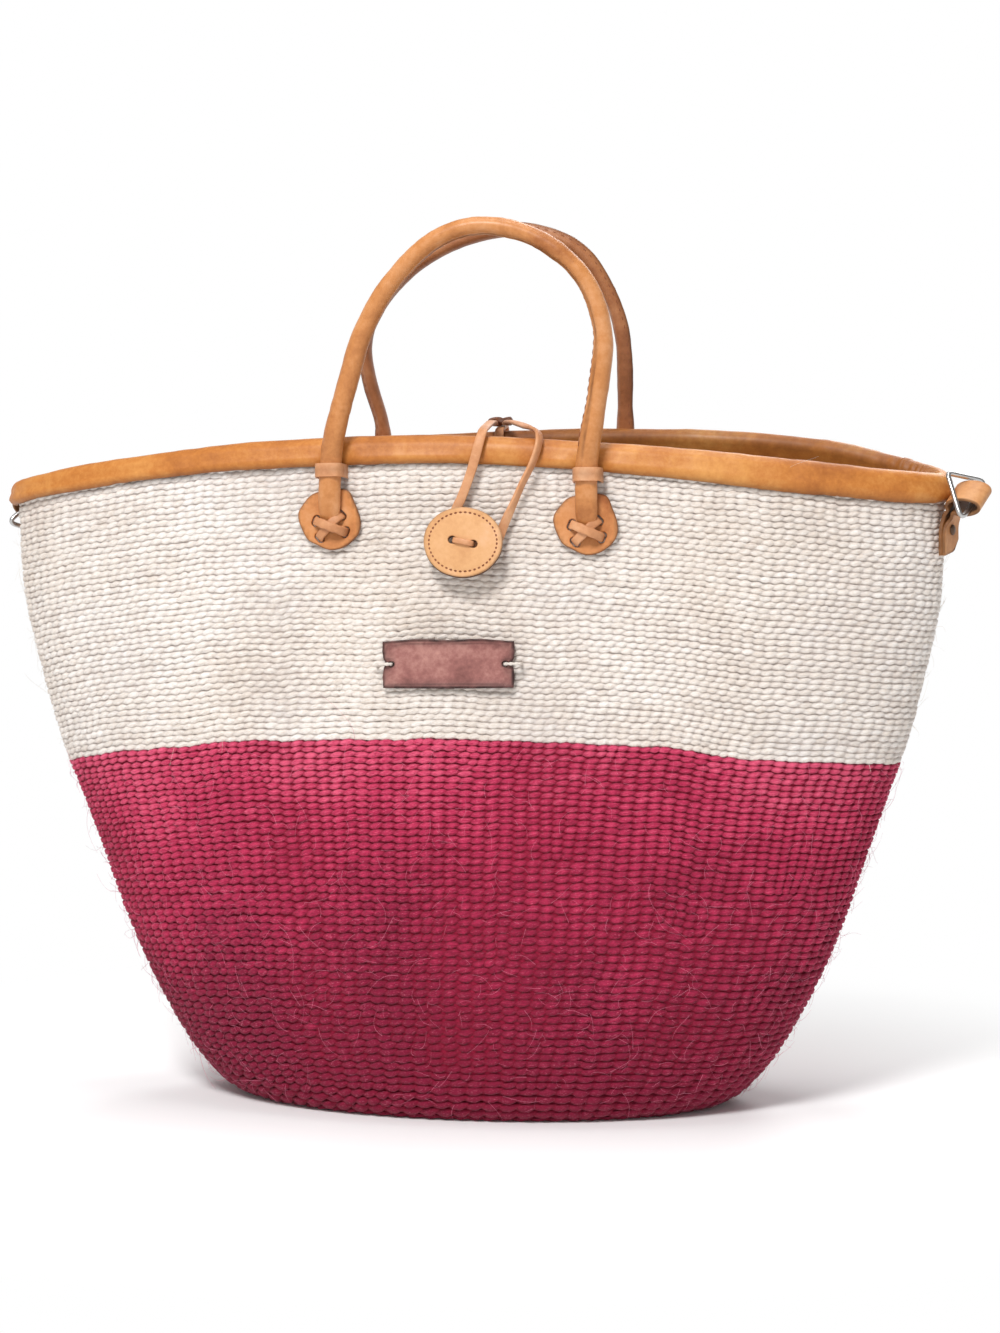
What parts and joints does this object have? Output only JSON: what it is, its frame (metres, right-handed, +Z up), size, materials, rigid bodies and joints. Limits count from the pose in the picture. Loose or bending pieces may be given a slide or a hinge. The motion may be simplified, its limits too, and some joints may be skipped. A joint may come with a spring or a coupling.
{
  "type": "woven basket bag",
  "caption": "Twined sisal basket with a leather-bound mouth, two rolled leather handles, a button with a closure loop, a sewn patch and wire triangles on end straps.",
  "frame": {"origin": "middle of the flat underside of the woven base", "axes": "+X along the mouth to the right as seen from the front, -Y out of the front with the button and the patch, +Z up"},
  "size_m": [0.4761, 0.1514, 0.4189],
  "materials": {
    "natural_sisal": "undyed twined sisal, matt, slightly hairy",
    "magenta_sisal": "magenta-dyed twined sisal, matt, slightly hairy",
    "rim_leather": "soft tan leather, satin",
    "handle_leather": "vegetable-tanned leather, satin",
    "lace_leather": "pale vegetable-tanned leather, matt",
    "patch_leather": "thin leather with singed edges, matt",
    "steel_wire": "nickel-plated steel wire"
  },
  "bodies": {
    "basket": {"woven_base": "magenta_sisal", "woven_lower_band": "magenta_sisal", "woven_upper_band": "natural_sisal", "rim_core": "natural_sisal", "rim_binding": "rim_leather", "front_left_tab": "handle_leather", "front_left_backer": "handle_leather", "front_left_tie_over": "lace_leather", "front_left_tie_under": "lace_leather", "front_left_keeper": "lace_leather", "front_right_tab": "handle_leather", "front_right_backer": "handle_leather", "front_right_tie_over": "lace_leather", "front_right_tie_under": "lace_leather", "front_right_keeper": "lace_leather", "back_left_tab": "handle_leather", "back_left_backer": "handle_leather", "back_left_tie_over": "lace_leather", "back_left_tie_under": "lace_leather", "back_left_keeper": "lace_leather", "back_right_tab": "handle_leather", "back_right_backer": "handle_leather", "back_right_tie_over": "lace_leather", "back_right_tie_under": "lace_leather", "back_right_keeper": "lace_leather", "button_back": "handle_leather", "button_front": "lace_leather", "button_lace": "lace_leather", "button_washer": "handle_leather", "closure_anchor": "lace_leather", "closure_knot": "handle_leather", "closure_thong": "lace_leather", "patch": "patch_leather", "patch_stitch_left": "natural_sisal", "patch_stitch_right": "natural_sisal", "right_strap": "handle_leather", "right_rivet": "steel_wire", "left_strap": "handle_leather", "left_rivet": "steel_wire"},
    "front_handle": {"front_handle_cover": "handle_leather", "front_handle_rope": "natural_sisal"},
    "back_handle": {"back_handle_cover": "handle_leather", "back_handle_rope": "natural_sisal"},
    "right_triangle": {"right_ring": "steel_wire"},
    "left_triangle": {"left_ring": "steel_wire"}
  },
  "joints": [
    {"name": "front_handle_fold", "type": "hinge", "parent": "basket", "child": "front_handle", "pos_m": [0, -0.0637, 0.3042], "axis": [1, 0, 0], "range_deg": [0, 165]},
    {"name": "back_handle_fold", "type": "hinge", "parent": "basket", "child": "back_handle", "pos_m": [0, 0.0637, 0.3052], "axis": [-1, 0, 0], "range_deg": [0, 165]},
    {"name": "right_triangle_swing", "type": "hinge", "parent": "basket", "child": "right_triangle", "pos_m": [0.2309, -0.00974, 0.28709], "axis": [0.2905, 0.8184, 0.4958], "range_deg": [0, 235]},
    {"name": "left_triangle_swing", "type": "hinge", "parent": "basket", "child": "left_triangle", "pos_m": [-0.22692, 0.02587, 0.27886], "axis": [0.6538, 0.526, 0.544], "range_deg": [-25, 214]}
  ]
}
